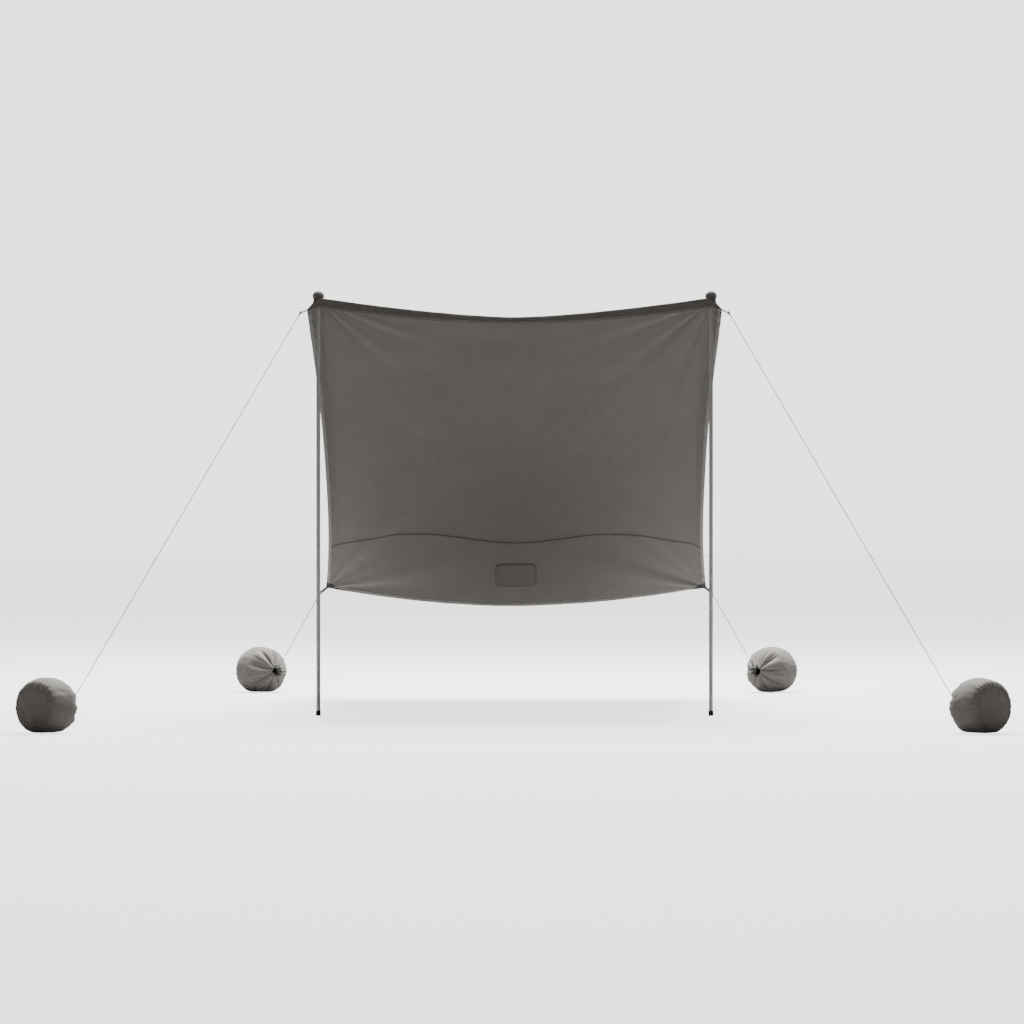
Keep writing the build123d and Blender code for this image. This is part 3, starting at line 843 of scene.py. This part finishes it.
def peak_pocket(side, sign):
    """A gathered cloth pocket over the cap of a pole, sewn to the canopy round its foot."""
    skirt = 0.3  # the share of the height below the elastic

    def at(s, t):
        turn = 2 * math.pi * s
        fold = pocket_folds(turn, sign)
        if t < skirt:
            share = ease(t / skirt)
            r = mix(0.033, 0.0212, share) * (1 + 0.07 * fold)
            x, y = sign * POLE_X + r * math.cos(turn), POLE_Y + r * math.sin(turn)
            low = canopy_z(x, max(y, CREST_Y + 0.001)) + 0.0012
            return Vector((x, y, mix(low, CAP_Z - 0.0150, share**1.3)))
        share = (t - skirt) / (1 - skirt)
        tilt = mix(math.radians(-38), math.radians(90), share)
        round_r = 0.0262 + 0.0028 * fold * (1 - share**3) + 0.0012 * math.sin(turn * 13) * share
        flat = math.cos(tilt) * round_r
        lobe = 0.0014 * abs(math.sin(turn)) * math.sin(math.pi * share)
        z = CAP_Z + math.sin(tilt) * 0.0248 + lobe
        return Vector((sign * POLE_X + flat * math.cos(turn), POLE_Y + flat * math.sin(turn), z))

    piece = grid(side + "_peak_pocket_cloth", at, 120, 48, closed=True, size=(0.16, 0.09))
    thicken(piece, 0.0009)
    dress(piece, canopy_cloth, replaces=[side + "_peak_pocket"])
    band_r = 0.0222
    ring = [
        Vector((sign * POLE_X + band_r * math.cos(a), POLE_Y + band_r * math.sin(a), CAP_Z - 0.0155))
        for a in (2 * math.pi * i / 64 for i in range(65))
    ]
    band = tube(side + "_peak_elastic", ring, 0.0019, 10, cap=False)
    dress(band, black_web)


for side, sign in SIDES.items():
    peak_pocket(side, sign)


# ---- corner straps, knots and guylines ----------------------------------------------------------
STRAP_T = 0.003
EYE_AT = {-1: 0.040, 1: 0.054}
STRAP_FALL = {-1: 0.25, 1: 0.45}
TIP_DROP = 0.003
LOOP_R = 0.006
WRAP_R = 0.0032
KNOT_L = 0.013
STITCH_ACROSS = 0.0078


def corner_frame(corner):
    """Where a corner's strap, knot and guyline lie, worked out as in the CAD."""
    sign, end = CORNERS[corner]
    tip = canopy_base(sign, 0 if end < 0 else 1) - Vector((0, 0, TIP_DROP))
    to_canopy = Vector((-sign * math.sin(BAG_YAW), -end * math.cos(BAG_YAW), 0))
    outward = Vector((-to_canopy.x, -to_canopy.y, -STRAP_FALL[end])).normalized()
    across = Vector((0, 0, 1)).cross(outward).normalized()
    up = outward.cross(across)
    loop_end = tip + outward * (EYE_AT[end] + 2 * LOOP_R)
    bag = Vector((sign * BAG_HALF_SPAN[end], end * BAG_Y, BAG_Z))
    mouth = bag + to_canopy * BAG_MOUTH
    line = (mouth - loop_end).normalized()
    return {
        "tip": tip,
        "eye": EYE_AT[end],
        "outward": outward,
        "across": across,
        "up": up,
        "loop_end": loop_end,
        "start": loop_end + line * KNOT_L,
        "end": mouth + line * 0.006,
        "line": line,
        "bag": bag,
        "to_canopy": to_canopy,
        "mouth": mouth,
    }


PLACES = {corner: corner_frame(corner) for corner in CORNERS}


def guyline(corner):
    """A taut cord from the knot at the canopy's corner into the neck of the sandbag."""
    place = PLACES[corner]
    start, end, line = place["start"], place["end"], place["line"]
    lead = 6 * GUYLINE_D
    points = [start, start + line * lead, end - line * lead, end]
    curve = bpy.data.curves.new(corner + "_guyline_cord", "CURVE")
    curve.dimensions = "3D"
    curve.bevel_depth = GUYLINE_D / 2
    curve.bevel_resolution = 4
    curve.use_fill_caps = True
    spline = curve.splines.new("NURBS")
    spline.points.add(len(points) - 1)
    for point, place_at in zip(spline.points, points):
        point.co = (*place_at, 1)
    spline.order_u = 3
    spline.use_endpoint_u = True
    piece = linked(corner + "_guyline_cord", curve)
    colour = red_cord if CORNERS[corner][1] < 0 else grey_cord
    dress(piece, colour, replaces=[corner + "_guyline"])
    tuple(start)


def knot(corner):
    """The guyline's end: a loop through the strap's eye, wrapped round the line and tucked in."""
    place = PLACES[corner]
    outward, up, line = place["outward"], place["up"], place["line"]
    centre = place["tip"] + outward * (place["eye"] + LOOP_R) - up * (STRAP_T / 2)
    loop = [
        centre + outward * (LOOP_R * math.cos(a)) + up * (LOOP_R * math.sin(a))
        for a in (2 * math.pi * i / 40 for i in range(41))
    ]
    side = line.cross(Vector((0, 0, 1))).normalized()
    over = side.cross(line)
    wraps, turns = [], 3.5
    for i in range(90):
        a = 2 * math.pi * turns * i / 89
        along = mix(0.0015, KNOT_L - 0.002, i / 89)
        wraps.append(
            place["loop_end"]
            + line * along
            + side * (WRAP_R * math.cos(a))
            + over * (WRAP_R * math.sin(a))
        )
    core = [place["loop_end"] - line * 0.002, place["start"]]
    r = GUYLINE_D / 2
    tail_dir = (side * 0.7 - over * 0.5 + line * 0.6).normalized()
    tail = [wraps[-1], wraps[-1] + tail_dir * 0.006, wraps[-1] + tail_dir * 0.012 + line * 0.004]
    parts = [
        tube("part", loop, r, 10, cap=False),
        tube("part", wraps, r, 10),
        tube("part", core, r, 10),
        tube("part", tail, lambda t: r * (1 - 0.15 * t), 10),
    ]
    return joined(corner + "_corner_knot", parts)


def eyelet(corner):
    """A turned metal ring through the strap's eye."""
    place = PLACES[corner]
    middle = place["tip"] + place["outward"] * place["eye"] - place["up"] * (STRAP_T / 2)
    profile_mm = [(3.5, 1.9), (4.6, 2.15), (5.6, 1.75), (5.6, 1.5), (3.45, 1.5)]
    outline = profile_mm + [(r, -z) for r, z in reversed(profile_mm)]

    def at(s, t):
        place_on = t * len(outline)
        i = int(place_on) % len(outline)
        k = place_on - int(place_on)
        r = mix(outline[i][0], outline[(i + 1) % len(outline)][0], k) / 1000
        z = mix(outline[i][1], outline[(i + 1) % len(outline)][1], k) / 1000
        a = 2 * math.pi * s
        flat = place["outward"] * (r * math.cos(a)) + place["across"] * (r * math.sin(a))
        return middle + flat + place["up"] * z

    return grid(corner + "_strap_eyelet", at, 40, len(outline), closed=True, size=(0.02, 0.01))


def strap_stitches(corner):
    """Rows of thread round the folded end of a corner strap, above and below."""
    place = PLACES[corner]
    rows = []
    for above, flip in ((0.0002, 1), (-STRAP_T - 0.0002, -1)):
        for across in (-STITCH_ACROSS, STITCH_ACROSS):
            row = [
                place["tip"]
                + place["outward"] * mix(-0.008, place["eye"] - 0.009, i / 60)
                + place["across"] * across
                + place["up"] * above
                for i in range(61)
            ]
            rows.append(stitches("row", row, [place["up"] * flip] * len(row), 0.004, 0.0027))
        for along in (0.010, place["eye"] - 0.013):
            row = [
                place["tip"]
                + place["outward"] * along
                + place["across"] * mix(-STITCH_ACROSS, STITCH_ACROSS, i / 20)
                + place["up"] * above
                for i in range(21)
            ]
            rows.append(stitches("row", row, [place["up"] * flip] * len(row), 0.004, 0.0027))
    return joined(corner + "_strap_stitches", rows)


grey_thread = cord_material("strap_thread", (0.10, 0.095, 0.09), (0.2, 0.19, 0.18), "Object")
for corner in CORNERS:
    guyline(corner)
    colour = red_cord if CORNERS[corner][1] < 0 else grey_cord
    replaced = ["corner_knots"] if corner == "front_left" else []
    dress(knot(corner), colour, replaces=replaced)
    dress(eyelet(corner), ferrule_metal)
    dress(strap_stitches(corner), grey_thread)


# ---- sandbags -----------------------------------------------------------------------------------
NECK_AT = 0.114
NECK_RING = 10  # the place of the neck in PROFILE
# Along the bag's axis from its middle, and the radius there.
PROFILE = [
    (-0.1200, 0.0880),
    (-0.1130, 0.1010),
    (-0.0980, 0.1130),
    (-0.0620, 0.1212),
    (-0.0150, 0.1222),
    (0.0360, 0.1160),
    (0.0620, 0.1030),
    (0.0830, 0.0800),
    (0.0990, 0.0500),
    (0.1090, 0.0280),
    (0.1140, 0.0175),
    (0.1185, 0.0215),
    (0.1245, 0.0270),
    (0.1310, 0.0300),
]


def profile_at(t):
    """A point (along, radius) of the bag's outline by smooth interpolation."""
    place = t * (len(PROFILE) - 1)
    i = min(int(place), len(PROFILE) - 2)
    k = place - i
    p = [PROFILE[clamp_index(i + d)] for d in (-1, 0, 1, 2)]
    return [
        0.5
        * (
            2 * p[1][n]
            + (p[2][n] - p[0][n]) * k
            + (2 * p[0][n] - 5 * p[1][n] + 4 * p[2][n] - p[3][n]) * k * k
            + (3 * p[1][n] - p[0][n] - 3 * p[2][n] + p[3][n]) * k**3
        )
        for n in (0, 1)
    ]


def clamp_index(i):
    return min(max(i, 0), len(PROFILE) - 1)


def lobes(turn, count, phase):
    """Rounded lobes with sharp valleys between them, 0 in a valley and 1 on a lobe."""
    warped = turn + 0.16 * math.sin(2 * turn + phase) + 0.10 * math.sin(3 * turn + 2.1 * phase)
    return abs(math.cos(count * warped / 2 + phase)) ** 0.75


def end_gathers(turn, phase):
    """Puckers along the seam of the round end, from -1 to 1."""
    return math.sin(turn * 30 + 2 * math.sin(turn * 5 + phase))


def bag_surface(phase):
    """The cloth of one bag: (along, radius) at a turn about its axis and a share along it."""

    def at(turn, t):
        along, radius = profile_at(t)
        gather = ease((along - 0.005) / (NECK_AT - 0.015))
        big = lobes(turn, 8, phase)
        small = lobes(turn, 19, phase * 1.7 + 1)
        depth = 0.36 * gather**1.5 * (1 - big) + 0.09 * gather * (1 - small)
        past = ease((along - NECK_AT) / 0.014)
        radius *= 1 - depth * (1 - 0.35 * past)
        radius += past * 0.006 * (big - 0.45) + past * 0.003 * math.sin(turn * 9 + phase)
        rim = math.exp(-(along - BAG_BACK) / 0.016)
        radius += 0.0026 * rim * end_gathers(turn, phase)
        pull = math.exp(-(along - BAG_BACK) / 0.055)
        radius += 0.0030 * pull * noise.noise(Vector((math.cos(turn) * 4, math.sin(turn) * 4, phase)))
        soft = noise.noise(Vector((math.cos(turn) * 1.6, math.sin(turn) * 1.6, along * 13 + phase)))
        fine = noise.noise(Vector((math.cos(turn) * 5.5, math.sin(turn) * 5.5, along * 24 - phase)))
        radius += (0.0045 * soft + 0.0013 * fine) * ease((0.10 - abs(along)) / 0.05 + 0.2)
        return along, radius

    return at


def settle(point, floor_z=0.0006, give=0.010):
    """Press a point that would go under the ground flat above it, softly over the height give."""
    if point.z < floor_z + give:
        below = floor_z + give - point.z
        point.z = floor_z + give * math.exp(-below / give)
    return point


def sandbag(corner):
    place = PLACES[corner]
    phase = {"front_left": 0.4, "front_right": 2.2, "rear_left": 3.7, "rear_right": 5.3}[corner]
    ahead = place["to_canopy"]
    side = ahead.cross(Vector((0, 0, 1))).normalized()
    up = Vector((0, 0, 1))
    cloth = bag_surface(phase)

    def world(along, radius, turn):
        sag = 1 + 0.025 * max(0.0, -math.sin(turn))
        flat = side * (radius * sag * math.cos(turn)) + up * (radius * math.sin(turn))
        return settle(place["bag"] + ahead * along + flat)

    def shell_at(s, t):
        turn = 2 * math.pi * s
        along, radius = cloth(turn, t)
        return world(along, radius, turn)

    shell = grid(corner + "_bag_cloth", shell_at, 260, 150, closed=True, size=(0.76, 0.34))
    thicken(shell, 0.0010)
    replaced = [corner + "_bag_shell"] + (["sand_fills"] if corner == "front_left" else [])
    dress(shell, bag_cloth, replaces=replaced)

    def end_at(s, t):
        """The round end, domed by the sand, from its seam to its middle."""
        turn = 2 * math.pi * s
        _, rim = cloth(turn, 0)
        radius = rim * (1 - t)
        dome = 0.0075 * (1 - (1 - t) ** 2.4)
        pucker = 0.0028 * math.exp(-t * rim / 0.014) * end_gathers(turn, phase)
        spread = radius * 26
        dent = 0.0030 * noise.noise(Vector((spread * math.cos(turn), spread * math.sin(turn), phase)))
        return world(BAG_BACK - dome + pucker + dent * ease(t * 4), radius, turn)

    disc = grid(
        corner + "_bag_end_cloth",
        lambda s, t: end_at(1 - s, t),
        176,
        44,
        closed=True,
        size=(0.55, 0.088),
    )
    thicken(disc, 0.0010)
    dress(disc, bag_cloth, replaces=[corner + "_bag_end"])

    def seam_at_turn(turn, out=0.0):
        _, rim = cloth(turn, 0)
        wobble = 0.0016 * math.sin(turn * 30 + 1.1) + 0.0009 * math.sin(turn * 17 + phase)
        return world(BAG_BACK - 0.0005 + wobble, rim + 0.0022 + out, turn)

    ring = [seam_at_turn(2 * math.pi * i / 264) for i in range(265)]
    piping = tube(corner + "_bag_end_seam", ring, 0.0024, 10, cap=False)
    dress(piping, bag_cloth)

    turns = []
    for i in range(150):
        a = 2 * math.pi * 2.2 * i / 149
        _, radius = cloth(a, NECK_RING / (len(PROFILE) - 1))
        along = NECK_AT - 0.0030 + 0.0026 * a / (2 * math.pi)
        turns.append(world(along, max(radius, 0.0165) + 0.0012, a))
    drawcord = tube(corner + "_drawcord_turns", turns, 0.0019, 10)
    replaced = ["bag_drawcords"] if corner == "front_left" else []
    dress(drawcord, grey_cord, replaces=replaced)


for corner in CORNERS:
    sandbag(corner)


# ---- floor, light and camera --------------------------------------------------------------------
def stage_material(name):
    """A pale floor, lifted towards white where the camera sees it."""
    material = bpy.data.materials.new(name)
    material.use_nodes = True
    tree = material.node_tree
    shader = tree.nodes["Principled BSDF"]
    shader.inputs["Base Color"].default_value = (0.36, 0.36, 0.36, 1)
    shader.inputs["Roughness"].default_value = 0.95
    shader.inputs["Emission Color"].default_value = (1, 1, 1, 1)
    seen = tree.nodes.new("ShaderNodeLightPath")
    lift = tree.nodes.new("ShaderNodeMath")
    lift.operation = "MULTIPLY"
    lift.inputs[1].default_value = 2.2
    tree.links.new(seen.outputs["Is Camera Ray"], lift.inputs[0])
    tree.links.new(lift.outputs[0], shader.inputs["Emission Strength"])
    return material


floor = mesh_object(
    "stage_floor",
    [Vector((x, y, 0.0)) for x, y in ((-60, -60), (60, -60), (60, 60), (-60, 60))],
    [(0, 1, 2, 3)],
    smooth=False,
)
floor.data.materials.append(stage_material("stage_paper"))


def studio_world():
    """White behind the object; as light, a soft dome that is bright overhead and dark low down."""
    world = bpy.data.worlds.new("studio")
    bpy.context.scene.world = world
    world.use_nodes = True
    tree = world.node_tree
    backdrop = tree.nodes["Background"]
    backdrop.inputs["Color"].default_value = (1, 1, 1, 1)
    backdrop.inputs["Strength"].default_value = 2.6
    dome = tree.nodes.new("ShaderNodeBackground")
    place = tree.nodes.new("ShaderNodeTexCoord")
    parts = tree.nodes.new("ShaderNodeSeparateXYZ")
    height = tree.nodes.new("ShaderNodeMapRange")
    height.inputs["From Min"].default_value = 0.50
    height.inputs["From Max"].default_value = 1.0
    height.inputs["To Min"].default_value = 0.03
    height.inputs["To Max"].default_value = 1.2
    tree.links.new(place.outputs["Generated"], parts.inputs[0])
    tree.links.new(parts.outputs["Z"], height.inputs["Value"])
    tree.links.new(height.outputs[0], dome.inputs["Strength"])
    seen = tree.nodes.new("ShaderNodeLightPath")
    choice = tree.nodes.new("ShaderNodeMixShader")
    tree.links.new(seen.outputs["Is Camera Ray"], choice.inputs[0])
    tree.links.new(dome.outputs[0], choice.inputs[1])
    tree.links.new(backdrop.outputs[0], choice.inputs[2])
    tree.links.new(choice.outputs[0], tree.nodes["World Output"].inputs["Surface"])


studio_world()


def area_light(name, place, target, size, power):
    light = bpy.data.lights.new(name, "AREA")
    light.shape = "SQUARE"
    light.size = size
    light.energy = power
    lamp = linked(name, light)
    lamp.location = place
    lamp.rotation_euler = (Vector(target) - Vector(place)).to_track_quat("-Z", "Y").to_euler()
    return lamp


area_light("overhead", (0.3, 3.4, 7.0), (0, 0.6, 0), 4.5, 3300)

CAMERA_AWAY = 20.0
camera_data = bpy.data.cameras.new("camera")
camera_data.sensor_width = 36.0
camera_data.lens = 149.4
camera_data.clip_end = 200.0
camera = linked("camera", camera_data)
camera.location = (0.08, POLE_Y - CAMERA_AWAY, 1.0155)
aim = Vector((-0.0122, POLE_Y, 0.959)) - camera.location
camera.rotation_euler = aim.to_track_quat("-Z", "Y").to_euler()
bpy.context.scene.camera = camera
